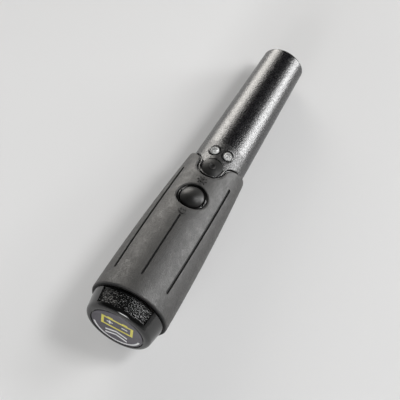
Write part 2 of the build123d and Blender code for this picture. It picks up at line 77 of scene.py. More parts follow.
sleeveArc = arcThrough([
    (0.0, butt),
    (sleeveShape["front"] / 2, (butt + sleeveShape["frontRadius"]) / 2 + sleeveShape["bulge"]),
    (sleeveShape["front"], sleeveShape["frontRadius"]),
])


def sleeveRadius(x):
    return sleeveArc[1] + np.sqrt(sleeveArc[2] ** 2 - (x - sleeveArc[0]) ** 2)


class Shade:
    # wraps one output socket of a node tree, so that maths on it adds nodes
    def __init__(self, tree, socket):
        self.tree = tree
        self.socket = socket

    def node(self, kind, settings=None, out=0, **inputs):
        # an input is named with _ for a space, or numbered as i0, i1 and so on
        made = self.tree.nodes.new(kind)
        for key, value in (settings or {}).items():
            setattr(made, key, value)
        for key, value in inputs.items():
            numbered = key[0] == "i" and key[1:].isdigit()
            target = made.inputs[int(key[1:]) if numbered else key.replace("_", " ")]
            if isinstance(value, Shade):
                self.tree.links.new(value.socket, target)
            else:
                target.default_value = (*value, 1.0) if target.type == "RGBA" else value
        return Shade(self.tree, made.outputs[out])

    def maths(self, operation, other=0.0, third=0.0):
        return self.node("ShaderNodeMath", {"operation": operation}, i0=self, i1=other, i2=third)

    def __add__(self, other):
        return self.maths("ADD", other)

    def __sub__(self, other):
        return self.maths("SUBTRACT", other)

    def __mul__(self, other):
        return self.maths("MULTIPLY", other)

    def __rsub__(self, other):
        return self.node("ShaderNodeMath", {"operation": "SUBTRACT"}, i0=other, i1=self)

    __radd__ = __add__
    __rmul__ = __mul__

    def size(self):
        return self.maths("ABSOLUTE")

    def larger(self, other):
        return self.maths("MAXIMUM", other)

    def smaller(self, other):
        return self.maths("MINIMUM", other)

    def between(self, low, high):
        # 0 below low, 1 above high, smooth in between
        return self.node(
            "ShaderNodeMapRange",
            {"interpolation_type": "SMOOTHSTEP"},
            Value=self, From_Min=low, From_Max=high, To_Min=0.0, To_Max=1.0,
        )

    def mixColours(self, first, second):
        return self.node("ShaderNodeMix", {"data_type": "RGBA"}, out=2, i0=self, i6=first, i7=second)


def newMaterial(name, constants):
    # a Principled material with its fixed values set on the shader's own sockets
    material = bpy.data.materials.new(name)
    material.use_nodes = True
    shader = material.node_tree.nodes["Principled BSDF"]
    for key, value in {"IOR": 1.5, **constants}.items():
        shader.inputs[key].default_value = value
    start = material.node_tree.nodes.new("ShaderNodeTexCoord")
    return material, shader, Shade(material.node_tree, start.outputs["Object"])


def feed(shader, name, value):
    value.tree.links.new(value.socket, shader.inputs[name])


def grain(place, scale, detail=2.0, roughness=0.5):
    return place.node("ShaderNodeTexNoise", Vector=place, Scale=scale, Detail=detail, Roughness=roughness)


def bumped(shader, height, depth):
    # depth is how far a height of 1 stands out, in metres
    feed(shader, "Normal", height.node("ShaderNodeBump", Height=height, Strength=1.0, Distance=depth))


def reach(x, y):
    return (x * x + y * y).maths("SQRT")


def axisPlaces(place):
    # millimetres about the detector's axis, from the object coordinates in metres
    parts = place.node("ShaderNodeSeparateXYZ", Vector=place).socket.node
    return [
        Shade(place.tree, parts.outputs[index]) * (1 / mm) - axisPlace[index]
        for index in range(3)
    ]


noiseSpan = (0.3, 0.7)  # most of a noise's values lie between these
mouldLook = {
    "fineRoughness": 0.6, "patchDetail": 3.0, "slowTimes": 2.0,
    "mottleTimes": 5.0, "mottleDetail": 5.0, "mottleRoughness": 0.75, "rubbedSpan": (0.45, 0.75),
}
# painted shade: the black, dull colour put in the moat, the notch's gap, the dimple and the recesses
paintedShadeLook = {
    "colour": (0.004, 0.004, 0.004), "rough": 0.75,
    "depth": (0.35, 0.75), "gap": (0.55, 0.8), "upperSide": (0.0, 1.0),
}


def moulded(name, look, paintedShade=None):
    # moulded plastic or rubber: a fine grain, slow patches of colour and pale rubbed spots,
    # and painted shade, black and dull, where the given shade mask is 1
    material, shader, place = newMaterial(name, {"Specular IOR Level": look["specular"]})
    fine = grain(place, look["grainScale"], roughness=mouldLook["fineRoughness"])
    patches = grain(place, look["patchScale"], mouldLook["patchDetail"])
    colour = patches.between(*noiseSpan).mixColours(look["dark"], look["light"])
    mottleScale = look["patchScale"] * mouldLook["mottleTimes"]
    mottle = grain(place, mottleScale, mouldLook["mottleDetail"], mouldLook["mottleRoughness"])
    rubbed = mottle.between(*mouldLook["rubbedSpan"]) * look["rubbed"]
    colour = rubbed.mixColours(colour, look["pale"])
    uneven = fine.between(*noiseSpan) * look["roughSpread"] + (0.5 - mottle) * look["mottle"]
    rough = uneven + look["rough"]
    if paintedShade:
        mask = paintedShade(*axisPlaces(place))
        colour = mask.mixColours(colour, paintedShadeLook["colour"])
        rough = rough.larger(mask * paintedShadeLook["rough"])
    feed(shader, "Base Color", colour)
    feed(shader, "Roughness", rough)
    slow = grain(place, look["patchScale"] * mouldLook["slowTimes"])
    bumped(shader, fine + slow * look["wave"], look["bump"])
    return material


probeLook = {
    "specular": 1.0, "grainScale": 1300.0, "patchScale": 60.0, "rubbed": 0.1, "mottle": 0.1,
    "dark": (0.002, 0.002, 0.003), "light": (0.004, 0.004, 0.005), "pale": (0.015, 0.015, 0.015),
    "rough": 0.2, "roughSpread": 0.14, "bump": 0.00014, "wave": 0.2,
}
shellLook = {
    "specular": 1.0, "grainScale": 1300.0, "patchScale": 60.0, "rubbed": 0.2, "mottle": 0.2,
    "dark": (0.008, 0.008, 0.008), "light": (0.012, 0.012, 0.012), "pale": (0.03, 0.03, 0.03),
    "rough": 0.24, "roughSpread": 0.2, "bump": 0.00024, "wave": 0.2,
}
rimLook = dict(shellLook, specular=0.9, grainScale=1500.0, rough=0.14, roughSpread=0.04, bump=0.00006)
sleeveLook = {
    "specular": 0.7, "grainScale": 1300.0, "patchScale": 45.0, "rubbed": 0.6, "mottle": 0.5,
    "dark": (0.034, 0.033, 0.032), "light": (0.044, 0.043, 0.041), "pale": (0.068, 0.066, 0.062),
    "rough": 0.46, "roughSpread": 0.16, "bump": 0.00018, "wave": 0.4,
}
buttonLook = {
    "specular": 0.4, "grainScale": 1500.0, "patchScale": 80.0, "rubbed": 0.2, "mottle": 0.1,
    "dark": (0.011, 0.011, 0.011), "light": (0.016, 0.016, 0.015), "pale": (0.03, 0.03, 0.03),
    "rough": 0.4, "roughSpread": 0.05, "bump": 0.000006, "wave": 0.3,
}
capLook = {
    "specular": 0.8, "grainScale": 1200.0, "patchScale": 80.0, "rubbed": 0.1, "mottle": 0.08,
    "dark": (0.005, 0.005, 0.005), "light": (0.008, 0.008, 0.008), "pale": (0.02, 0.02, 0.02),
    "rough": 0.12, "roughSpread": 0.05, "bump": 0.000003, "wave": 0.4,
}
panelLook = dict(
    capLook, specular=0.6, grainScale=1600.0, rubbed=0.0, rough=0.16, roughSpread=0.2, bump=0.00015,
    dark=(0.003, 0.003, 0.003), light=(0.004, 0.004, 0.004),
)
plainLook = {
    "specular": 0.5, "grainScale": 1200.0, "patchScale": 120.0, "rubbed": 0.2, "mottle": 0.1,
    "rough": 0.36, "roughSpread": 0.1, "bump": 0.00001, "wave": 0.3, "shares": (0.85, 1.08, 1.3),
}
dishLook = dict(plainLook, dark=(0.82, 0.82, 0.82), light=(0.9, 0.9, 0.9), pale=(0.95, 0.95, 0.95))


def slotColour(slotName):
    found = [made for made in frame["record"]["materials"] if made["slot"] == slotName]
    return np.array(found[0]["base_color"][:3])


def shades(colour, shares):
    return [tuple(np.minimum(colour * share, 1.0)) for share in shares]


def plainFinish(slotName):
    dark, light, pale = shades(slotColour(slotName), plainLook["shares"])
    return moulded(slotName + "Finish", dict(plainLook, dark=dark, light=light, pale=pale))


metalSlots = ("steel", "can_aluminium", "brass")
metalLook = {
    "grainScale": 900.0, "detail": 3.0, "streak": 12.0, "shares": (0.8, 1.1),
    "rough": 0.24, "roughSpread": 0.16, "bump": 0.000004,
}


def metalFinish(slotName):
    # bare metal with drawing streaks along the axis
    look = metalLook
    material, shader, place = newMaterial(slotName + "Finish", {"Metallic": 1.0})
    along = (1.0 / look["streak"], 1.0, 1.0)
    stretched = place.node("ShaderNodeVectorMath", {"operation": "MULTIPLY"}, i0=place, i1=along)
    streaks = grain(stretched, look["grainScale"], look["detail"])
    dark, light = shades(slotColour(slotName), look["shares"])
    feed(shader, "Base Color", streaks.between(*noiseSpan).mixColours(dark, light))
    feed(shader, "Roughness", streaks * look["roughSpread"] + look["rough"])
    bumped(shader, streaks, look["bump"])
    return material


woundLook = {
    "pace": 24.0,  # radians of the ridges' sine in a millimetre
    # the first share is the painted shade between the turns
    "metallic": 0.9, "shares": (0.45, 1.1), "grainScale": 500.0,
    "rough": 0.3, "roughSpread": 0.2, "bump": 0.00004,
}


def woundFinish(slotName):
    # enamelled wire laid turn by turn: rounded ridges along the axis, the colour painted darker
    # between the turns as painted shade
    look = woundLook
    material, shader, place = newMaterial(slotName + "Finish", {"Metallic": look["metallic"]})
    along = axisPlaces(place)[0]
    ridge = (along * look["pace"]).maths("SINE").size()
    # painted shade: darker between the turns
    feed(shader, "Base Color", ridge.mixColours(*shades(slotColour(slotName), look["shares"])))
    feed(shader, "Roughness", grain(place, look["grainScale"]) * look["roughSpread"] + look["rough"])
    bumped(shader, ridge, look["bump"])
    return material


boardLook = {
    "trackScale": 320.0, "trackEdge": (0.06, 0.1), "track": (0.06, 0.3, 0.12), "specular": 0.6,
    "grainScale": 400.0, "rough": 0.3, "roughSpread": 0.15, "bump": 0.00002,
}


def boardFinish(slotName):
    # solder mask over copper tracks: paler lines along the edges of cells
    look = boardLook
    material, shader, place = newMaterial(slotName + "Finish", {"Specular IOR Level": look["specular"]})
    cells = place.node(
        "ShaderNodeTexVoronoi", {"feature": "DISTANCE_TO_EDGE", "distance": "EUCLIDEAN"},
        Vector=place, Scale=look["trackScale"],
    )
    track = 1 - cells.between(*look["trackEdge"])
    feed(shader, "Base Color", track.mixColours(tuple(slotColour(slotName)), look["track"]))
    feed(shader, "Roughness", grain(place, look["grainScale"]) * look["roughSpread"] + look["rough"])
    bumped(shader, track, look["bump"])
    return material


foamLook = {
    "cellScale": 1500.0, "cellSpan": (0.1, 0.7), "shares": (1.3, 0.5), "specular": 0.2,
    "rough": 0.85, "roughSpread": 0.1, "bump": 0.0002,
}


def foamFinish(slotName):
    # open foam: pitted cells, their pits painted darker and their rims lighter as painted shade
    look = foamLook
    material, shader, place = newMaterial(slotName + "Finish", {"Specular IOR Level": look["specular"]})
    cells = place.node("ShaderNodeTexVoronoi", Vector=place, Scale=look["cellScale"])
    # painted shade: the pits darker than the cell rims
    rim, pit = shades(slotColour(slotName), look["shares"])
    feed(shader, "Base Color", cells.between(*look["cellSpan"]).mixColours(rim, pit))
    feed(shader, "Roughness", cells * look["roughSpread"] + look["rough"])
    bumped(shader, 1 - cells, look["bump"])
    return material


tongueShape = {
    "notchX": 90.3, "notchRadius": 8.0, "lead": 0.5, "lobeRadius": 5.6, "lobeTurn": 53.1, "flank": 4.6,
    "inset": 1.15, "halfWidth": 0.28, "height": 1.25, "sink": 0.3, "fade": 2.0,
    "bowlPoints": 60, "lobePoints": 30, "points": 260, "paintedShadeBlend": 0.1,
}
seatShape = {
    "x": 66.83, "seatDepth": 3.1, "radius": 7.45, "shorten": 0.955, "halfWidth": 0.3, "height": 1.15,
    "sink": 0.2, "steps": 160, "paintedShade": (8.8, 9.2),
}
dimpleShape = {
    "x": 90.9, "radius": 1.65, "halfWidth": 0.25, "height": 0.34, "sink": 0.15, "steps": 72,
    "paintedShade": (1.0, 1.5),
}


def moatPaintedShade(x, y, z):
    # painted shade in the moat round the power button and in the gap along the notch's edge,
    # on the upper side alone
    look = tongueShape
    moat = 1 - reach(x - seatShape["x"], y).between(*seatShape["paintedShade"])
    side = look["notchX"] + look["lead"]
    bowl = (reach(x - look["notchX"], y) - look["notchRadius"]).size()
    lobe = reach(x - side, y.size() - look["notchRadius"] - look["lobeRadius"])
    ahead = x.between(side - look["paintedShadeBlend"], side + look["paintedShadeBlend"])
    away = (1 - ahead) * bowl + ahead * (lobe - look["lobeRadius"]).size()
    return moat.larger(1 - away.between(*paintedShadeLook["gap"])) * z.between(*paintedShadeLook["upperSide"])


def dimplePaintedShade(x, y, z):
    # painted shade in the light button's dimple
    return 1 - reach(x - dimpleShape["x"], y).between(*dimpleShape["paintedShade"])


def recessPaintedShade(x, y, z):
    # painted shade in the grooves and on the walls of the holes:
    # by how far a point lies below the sleeve's outside
    outside = (sleeveArc[2] ** 2 - (x - sleeveArc[0]) * (x - sleeveArc[0])).maths("SQRT") + sleeveArc[1]
    return (outside - reach(y, z)).between(*paintedShadeLook["depth"])


# the shell, the sleeve and the buttons carry painted shade in their hollows
finishes = {
    "probe_plastic": moulded("probePlastic", probeLook),
    "shell_plastic": moulded("shellPlastic", shellLook, moatPaintedShade),
    "sleeve_rubber": moulded("sleeveRubber", sleeveLook, recessPaintedShade),
    "rim_plastic": moulded("rimPlastic", rimLook),
    "lamp_dish": moulded("lampDish", dishLook),
    "panel_plastic": moulded("panelPlastic", panelLook),
    "button_rubber": moulded("buttonRubber", buttonLook, dimplePaintedShade),
    "cap_plastic": moulded("capPlastic", capLook),
    "copper_wire": woundFinish("copper_wire"),
    "board_green": boardFinish("board_green"),
    "pad_foam": foamFinish("pad_foam"),
    **{slotName: metalFinish(slotName) for slotName in metalSlots},
}
for part in frame["record"]["subparts"]:
    slotName = part["material_slot"]
    if slotName not in finishes:
        finishes[slotName] = plainFinish(slotName)
    mesh = nodes[part["node"]].data
    mesh.materials.clear()
    mesh.materials.append(finishes[slotName])
print("finishes made:", len(finishes))


def carried(rings, loop):
    # a closed profile carried along a path: rings is path by profile by xyz, open ends get a face;
    # gives the points, and blocks of faces with equal numbers of corners
    count, width = rings.shape[:2]
    row = np.arange(count if loop else count - 1)[:, None] * width
    after = (row + width) % (count * width)
    col = np.arange(width)[None, :]
    nextCol = (col + 1) % width
    quads = np.stack([row + col, row + nextCol, after + nextCol, after + col], -1).reshape(-1, 4)
    ends = [] if loop else [col, col + (count - 1) * width]
    return rings.reshape(-1, 3), [quads, *ends]


def turned(profile, origin, axis, steps):
    # radius and height pairs of a closed profile, carried round an axis through origin
    axis = np.array(axis, float) / np.linalg.norm(axis)
    lengthways = abs(axis[0]) > 0.9
    aside = np.cross(axis, (0.0, 0.0, 1.0) if lengthways else (1.0, 0.0, 0.0))
    aside /= np.linalg.norm(aside)
    turn = np.linspace(0.0, 2 * np.pi, steps, endpoint=False)[:, None]
    outwards = np.cos(turn) * aside + np.sin(turn) * np.cross(axis, aside)
    profile = np.asarray(profile, float)
    rings = np.asarray(origin) + outwards[:, None, :] * profile[None, :, :1] + axis * profile[None, :, 1:]
    return carried(rings, True)


weld = 1e-7  # points closer than this are merged, in metres


def addPiece(name, parts, finish, body, sharp=38.0):
    # joins closed parts to one piece that rides on a body; edges past sharp degrees stay sharp
    starts = np.cumsum([0] + [len(points) for points, blocks in parts])
    faces = [
        face
        for start, (points, blocks) in zip(starts, parts)
        for block in blocks
        for face in (block + start).tolist()
    ]
    mesh = bpy.data.meshes.new(name)
    mesh.from_pydata(toFrame(np.concatenate([points for points, blocks in parts])).tolist(), [], faces)
    joined = bmesh.new()
    joined.from_mesh(mesh)
    bmesh.ops.remove_doubles(joined, verts=joined.verts, dist=weld)
    bmesh.ops.dissolve_degenerate(joined, edges=joined.edges, dist=weld)
    bmesh.ops.recalc_face_normals(joined, faces=joined.faces)
    joined.to_mesh(mesh)
    joined.free()
    mesh.shade_smooth()
    mesh.set_sharp_from_angle(angle=math.radians(sharp))
    mesh.materials.append(finish)
    piece = bpy.data.objects.new(name, mesh)
    scene.collection.objects.link(piece)
    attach(piece, body)
    return piece


lampShape = {
    "x": 102.0, "y": 4.1, "collarRadius": 15.06, "standOut": 1.6, "radius": 2.5, "body": 6.2,
    "flange": 0.4, "flangeHeight": 1.0, "domeRows": 20, "steps": 72,
    # profiles are pairs of radius and height, from the dome's centre, or for the rim from the collar
    "dish": [
        (0, -0.6), (0.5, -0.6), (1.05, -0.1), (1.3, -0.1), (1.3, -1.2), (0.5, -1.7), (0.45, -5.3),
        (0, -5.3),
    ],
    "dishSteps": 36,
    "die": [(0, -0.3), (0.45, -0.3), (0.45, -0.65), (0, -0.65)],
    "dieSteps": 24,
    "post": [(0, 0.1), (0.4, 0.1), (0.5, 0), (0.5, -1.2), (0.3, -2), (0.3, -5.3), (0, -5.3)],
    "postStep": 1.85, "postSteps": 20,
    "rim": [
        (2.6, -1.28), (2.62, -0.7), (2.75, -0.3), (2.95, -0.15), (3.2, -0.25), (3.35, -0.6), (3.2, -1.28),
    ],
    # the milky white toward each lens's rim is a painted reflection
    "clear": 0.18, "paintedRimAlpha": 0.6, "paintedRimFrom": (1.2, 2.3),
    "cloudScale": 700.0, "tint": (0.93, 0.94, 0.93), "tintLight": (0.98, 0.99, 0.98), "specular": 1.0,
    "rough": 0.03, "roughSpread": 0.06, "bump": 0.000003,
}


def clearLens(look):
    # clear resin that shows the dish below its middle; the milky white out to its rim is a painted
    # reflection, standing in for the pale rim a clear lens shows in grazing light
    material, shader, place = newMaterial("clearLens", {"Specular IOR Level": look["specular"]})
    cloud = grain(place, look["cloudScale"])
    x, y, z = axisPlaces(place)
    lean = look["y"] / look["collarRadius"]
    fromAxis = reach(x - look["x"], y.size() * math.sqrt(1 - lean**2) - z * lean)
    # painted reflection: milky white towards the rim
    paintedRimReflection = fromAxis.between(*look["paintedRimFrom"])
    feed(shader, "Alpha", paintedRimReflection * (look["paintedRimAlpha"] - look["clear"]) + look["clear"])
    feed(shader, "Base Color", cloud.between(*noiseSpan).mixColours(look["tint"], look["tintLight"]))
    feed(shader, "Roughness", cloud * look["roughSpread"] + look["rough"])
    bumped(shader, cloud, look["bump"])
    return material


def makeLamps(look):
    # each lamp is turned round its own axis, square to the collar: a lens with a half-round dome and
    # a flange, a dish with its die, a post beside it, and the rim of the collar's cup
    lenses, dishes, dies, rims = [], [], [], []
    turn = np.linspace(0.0, np.pi / 2, look["domeRows"])
    dome = np.column_stack([np.sin(turn), np.cos(turn)]) * look["radius"]
    flangeRadius = look["radius"] + look["flange"]
    foot = -look["body"]
    flangeTop = foot + look["flangeHeight"]
    skirt = [(look["radius"], flangeTop), (flangeRadius, flangeTop), (flangeRadius, foot), (0, foot)]
    lens = np.concatenate([dome, skirt])
    height = math.sqrt(look["collarRadius"] ** 2 - look["y"] ** 2)
    for hand in (1, -1):
        surface = np.array([look["x"], hand * look["y"], height])
        axis = np.array([0.0, hand * look["y"], height]) / look["collarRadius"]
        inward = np.array([0.0, -hand * height, look["y"]]) / look["collarRadius"]
        centre = surface + axis * (look["standOut"] - look["radius"])
        lenses.append(turned(lens, centre, axis, look["steps"]))
        dishes.append(turned(look["dish"], centre, axis, look["dishSteps"]))
        dishes.append(turned(look["post"], centre + inward * look["postStep"], axis, look["postSteps"]))
        dies.append(turned(look["die"], centre, axis, look["dieSteps"]))
        rims.append(turned(look["rim"], surface, axis, look["steps"]))
    piece = addPiece("lamp_lenses", lenses, clearLens(look), "handle")
    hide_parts("lamp_leds")
    addPiece("lamp_dishes", dishes, finishes["lamp_dish"], "handle")
    addPiece("lamp_dies", dies, finishes["switch_plastic"], "handle")
    addPiece("lamp_rims", rims, finishes["rim_plastic"], "handle")


makeLamps(lampShape)
print("lamps made")


def evenly(path, count):
    # points at even steps along a line of points
    run = np.concatenate([[0.0], np.cumsum(np.linalg.norm(np.diff(path, axis=0), axis=1))])
    along = np.linspace(0.0, run[-1], count)
    return np.column_stack([np.interp(along, run, path[:, axis]) for axis in range(path.shape[1])]), along


def sideways(tangent):
    # unit vectors square to the tangents of a flat path
    tangent = tangent / np.linalg.norm(tangent, axis=1)[:, None]
    return np.column_stack([-tangent[:, 1], tangent[:, 0]])


def roundTop(look, rows=9):
    # cross-section of a rib: straight sides, half-round top and a foot sunk below the surface
    halfWidth, sink = look["halfWidth"], look["sink"]
    turn = np.linspace(0.0, np.pi, rows)
    top = np.column_stack([halfWidth * np.cos(turn), look["height"] - halfWidth * (1 - np.sin(turn))])
    return np.concatenate([[(halfWidth, -sink)], top, [(-halfWidth, -sink)]])


def tonguePath(look):
    # the notch's outline moved inwards: half circle, straight lead, lobe and flank, and their mirror image
    inset, turnEnd = look["inset"], math.radians(look["lobeTurn"])
    radius = look["notchRadius"] - inset
    around = np.linspace(np.pi, np.pi / 2, look["bowlPoints"])
    bowl = np.column_stack([look["notchX"] + radius * np.cos(around), radius * np.sin(around)])
    leadEnd = look["notchX"] + look["lead"]
    turn = np.linspace(0.0, turnEnd, look["lobePoints"])
    lobe = np.column_stack([np.sin(turn), -np.cos(turn)]) * (look["lobeRadius"] + inset)
    lobe += (leadEnd, look["notchRadius"] + look["lobeRadius"])
    flank = lobe[-1:] + look["flank"] * np.array([[math.cos(turnEnd), math.sin(turnEnd)]])
    half = np.concatenate([bowl, lobe, flank])
    return np.concatenate([(half * (1, -1))[:0:-1], half])


def makeTongueRim(look):
    # a rib that follows the notch; its height above the shell fades out at both ends
    path, along = evenly(tonguePath(look), look["points"])
    normal = sideways(np.gradient(path, axis=0))
    profile = roundTop(look)
    toEnd = np.minimum(along, along[-1] - along)
    shown = np.sin(np.clip(toEnd / look["fade"], 0.0, 1.0) * np.pi / 2)[:, None]
    plan = path[:, None, :] + normal[:, None, :] * profile[None, :, :1]
    rise = (profile[None, :, 1] + look["sink"]) * shown - look["sink"]
    shell = sleeveRadius(plan[..., 0]) - sleeveShape["wall"]
    up = np.sqrt((shell + rise) ** 2 - plan[..., 1] ** 2)
    part = carried(np.concatenate([plan, up[..., None]], -1), False)
    addPiece("tongue_rim", [part], finishes["rim_plastic"], "handle")


def makeSeatRim(look):
    # a ring that stands in the moat round the power button, shortened along the axis as the moat is
    seat = sleeveRadius(look["x"]) - look["seatDepth"]
    profile = roundTop(look) + (look["radius"], seat)
    points, blocks = turned(profile, (0.0, 0.0, 0.0), (0, 0, 1), look["steps"])
    points = points * (look["shorten"], 1.0, 1.0) + (look["x"], 0.0, 0.0)
    addPiece("seat_rim", [(points, blocks)], finishes["rim_plastic"], "handle")


def makeDimpleRing(look):
    # a raised ring on the edge of the light button's dimple
    middle = np.array([look["x"], 0.0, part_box("light_button")[1][2] / mm - butt])
    profile = roundTop(look) + (look["radius"], 0.0)
    part = turned(profile, middle, (0, 0, 1), look["steps"])
    addPiece("dimple_ring", [part], finishes["button_rubber"], "light_button")


makeTongueRim(tongueShape)
makeSeatRim(seatShape)
makeDimpleRing(dimpleShape)
print("rims made")


signShape = {
    "halfWidth": 0.3, "height": 0.45, "sink": 0.25, "endShare": 0.02,
    "powerX": 55.7, "powerRadius": 1.8, "powerGap": 38.0, "powerBar": (0.35, 2.6),
    "lightX": 78.5, "lightRadius": 1.15, "rays": 8, "ray": (1.85, 2.85),
    "arcPoints": 121, "loopPoints": 96, "linePoints": 48,
}


def onSleeve(path, look, loop):
    # a rib on the sleeve with rounded ends: path is x and distance round the sleeve, positive to the
    # photograph's right
    path, along = evenly(path, look["loopPoints"] if loop else look["linePoints"])
    if loop:
        path, along = path[:-1], along[:-1]
        normal = sideways(np.roll(path, -1, 0) - np.roll(path, 1, 0))
        near = np.ones(len(along))
    else:
        normal = sideways(np.gradient(path, axis=0))
        near = np.clip(np.minimum(along, along[-1] - along) / look["halfWidth"], look["endShare"], 1.0)
    profile = roundTop(look)
    narrow = np.sqrt(1 - (1 - near) ** 2)[:, None]
    plan = path[:, None, :] + normal[:, None, :] * (profile[None, :, 0] * narrow)[..., None]
    radius = sleeveRadius(plan[..., 0]) + (profile[None, :, 1] + look["sink"]) * narrow - look["sink"]
    turn = plan[..., 1] / sleeveRadius(plan[..., 0])
    return carried(np.stack([plan[..., 0], -radius * np.sin(turn), radius * np.cos(turn)], -1), loop)


def arcPath(centreX, radius, start, end, count):
    # start and end in degrees from the direction of the tip
    turn = np.radians(np.linspace(start, end, count))
    return np.column_stack([centreX + radius * np.cos(turn), radius * np.sin(turn)])


def makeSigns(look):
    # power: an arc open towards the tip, with a bar in its gap; light: a ring with rays round it
    gap, count = look["powerGap"], look["arcPoints"]
    powerArc = arcPath(look["powerX"], look["powerRadius"], gap, 360 - gap, count)
    powerBar = np.array([[look["powerX"] + place, 0.0] for place in look["powerBar"]])
    power = [onSleeve(powerArc, look, False), onSleeve(powerBar, look, False)]
    light = [onSleeve(arcPath(look["lightX"], look["lightRadius"], 0, 360, count), look, True)]
    for turn in np.linspace(0.0, 2 * np.pi, look["rays"], endpoint=False):
        outwards = np.array([math.cos(turn), math.sin(turn)])
        ray = np.array([look["lightX"], 0.0]) + np.outer(look["ray"], outwards)
        light.append(onSleeve(ray, look, False))
    addPiece("power_sign", power, finishes["button_rubber"], "handle")
    addPiece("light_sign", light, finishes["button_rubber"], "handle")


makeSigns(signShape)
print("signs made")


panelShape = {
    "rearX": -9.85, "frontX": -1.9, "rearStep": 4.49, "frontStep": 2.88, "halfAngle": 45.6,
    "rows": 100, "columns": 330, "lift": 0.05, "sink": 0.2, "seed": 5, "peak": 2.0,
    "layers": [(0.56, 0.3), (0.3, 0.12)],  # each the size of its cells and its depth
    "sharp": 60.0,
}


def valueNoise(chance, across, along):
    # random heights on a lattice of unit cells, smoothly blended between its corners
    lattice = chance.random((int(across.max()) + 2, int(along.max()) + 2))
    row, col = np.floor(across).astype(int), np.floor(along).astype(int)
    blendRow, blendCol = [share * share * (3 - 2 * share) for share in (across - row, along - col)]
    low = lattice[row, col] * (1 - blendCol) + lattice[row, col + 1] * blendCol
    high = lattice[row + 1, col] * (1 - blendCol) + lattice[row + 1, col + 1] * blendCol
    return low * (1 - blendRow) + high * blendRow


def makePanels(look):
    # spark-eroded finger panels: radius is the panel's floor plus layers of value noise
    chance = np.random.default_rng(look["seed"])
    x = np.linspace(look["rearX"], look["frontX"], look["rows"])[None, :]
    share = (x - look["rearX"]) / (look["frontX"] - look["rearX"])
    floor = butt - look["rearStep"] + share * (look["rearStep"] - look["frontStep"])
    turn = np.radians(np.linspace(-look["halfAngle"], look["halfAngle"], look["columns"]))[:, None]
    parts = []
    for side in (1, -1):
        height = np.full((look["columns"], look["rows"]), look["lift"])
        for cell, depth in look["layers"]:
            across = (turn + turn.max()) * floor.mean() / cell + 0 * x
            along = (x - look["rearX"]) / cell + 0 * turn
            height += valueNoise(chance, across, along) ** look["peak"] * depth
        # two more columns of points, below the floor, close the profile
        radius = np.concatenate([floor + height, floor[:, -1:] + 0 * turn, floor[:, :1] + 0 * turn], 1)
        radius[:, -2:] -= look["sink"]
        places = np.concatenate([x, x[:, -1:], x[:, :1]], 1) + 0 * turn
        rings = np.stack([places, radius * np.sin(turn), side * radius * np.cos(turn)], -1)
        parts.append(carried(rings, False))
    addPiece("cap_panels", parts, finishes["panel_plastic"], "battery_cap", look["sharp"])


makePanels(panelShape)
print("finger panels made")


labelShape = {
    "radius": 15.0, "rear": -12.5, "front": -12.1, "edge": 0.12, "steps": 160, "rows": 24,
    "film": (0.045, 0.038, 0.055), "filmLight": (0.065, 0.056, 0.078), "yellow": (0.9, 0.8, 0.1),
    "white": (0.95, 0.95, 0.96), "patchScale": 250.0, "patchDetail": 3.0, "soft": 0.06, "line": 0.75,
    "cellPlace": (0.0, 3.6), "cellSize": (17.0, 7.6), "nubStep": 4.3, "nubSize": (3.0, 1.6),
    "signStep": 4.3, "signLength": 3.4, "signWidth": 1.0,
    "arrows": (-3.6, -7.0), "arrowHalf": 6.4, "arrowRise": 2.2, "ring": (12.9, 14.0), "ringTop": -3.0,
    "specular": 0.5, "coat": 0.3, "coatRough": 0.1,
    "grainScale": 900.0, "rough": 0.3, "roughSpread": 0.15, "bumpScale": 1500.0, "bump": 0.000006,
}


def labelFinish(look):
    # printed film: a battery sign with plus and minus, two arrowheads below it and an arc along
    # the lower rim
    material, shader, place = newMaterial("labelFilm", {
        "Specular IOR Level": look["specular"],
        "Coat Weight": look["coat"],
        "Coat Roughness": look["coatRough"],
    })
    across, up = axisPlaces(place)[1:]

    def inside(distance):
        return 1 - distance.between(-look["soft"], look["soft"])

    def slab(centre, size):
        # distance outside a rectangle
        return ((across - centre[0]).size() - size[0] / 2).larger((up - centre[1]).size() - size[1] / 2)

    def arrow(height):
        # distance outside two slanting lines that meet in the middle
        slope = look["arrowRise"] / look["arrowHalf"]
        slant = (up - height + across.size() * slope).size() - look["line"]
        return slant.larger(across.size() - look["arrowHalf"])

    cell = slab(look["cellPlace"], look["cellSize"]).size() - look["line"]
    middle = look["cellPlace"][1]
    top = middle + look["cellSize"][1] / 2 + look["nubSize"][1] / 2
    nub, nubSize = look["nubStep"], look["nubSize"]
    nubs = slab((nub, top), nubSize).smaller(slab((-nub, top), nubSize))
    step, length, width = look["signStep"], look["signLength"], look["signWidth"]
    plus = slab((step, middle), (length, width)).smaller(slab((step, middle), (width, length)))
    signs = plus.smaller(slab((-step, middle), (length, width)))
    upperArrow, lowerArrow = [arrow(height) for height in look["arrows"]]
    inner, outer = look["ring"]
    fromRing = (reach(across, up) - (inner + outer) / 2).size() - (outer - inner) / 2
    ring = fromRing.larger(up - look["ringTop"])
    patches = grain(place, look["patchScale"], look["patchDetail"])
    film = patches.between(*noiseSpan).mixColours(look["film"], look["filmLight"])
    printed = inside(cell.smaller(nubs)).mixColours(film, look["yellow"])
    white = inside(signs.smaller(upperArrow.smaller(lowerArrow)).smaller(ring))
    feed(shader, "Base Color", white.mixColours(printed, look["white"]))
    feed(shader, "Roughness", grain(place, look["grainScale"]) * look["roughSpread"] + look["rough"])
    bumped(shader, grain(place, look["bumpScale"]), look["bump"])
    return material


def makeLabel(look):
    # a thin disc with an eased edge
    radii = np.linspace(0.0, look["radius"] - look["edge"], look["rows"])
    rear, front = -look["rear"], -look["front"]
    face = np.column_stack([radii, np.full_like(radii, rear)])
    side = [(look["radius"], rear - look["edge"]), (look["radius"], front), (0.0, front)]
    part = turned(np.concatenate([face, side]), (0.0, 0.0, 0.0), (-1, 0, 0), look["steps"])
    piece = addPiece("end_label_film", [part], labelFinish(look), "battery_cap")
    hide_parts("end_label")


makeLabel(labelShape)
print("label made")


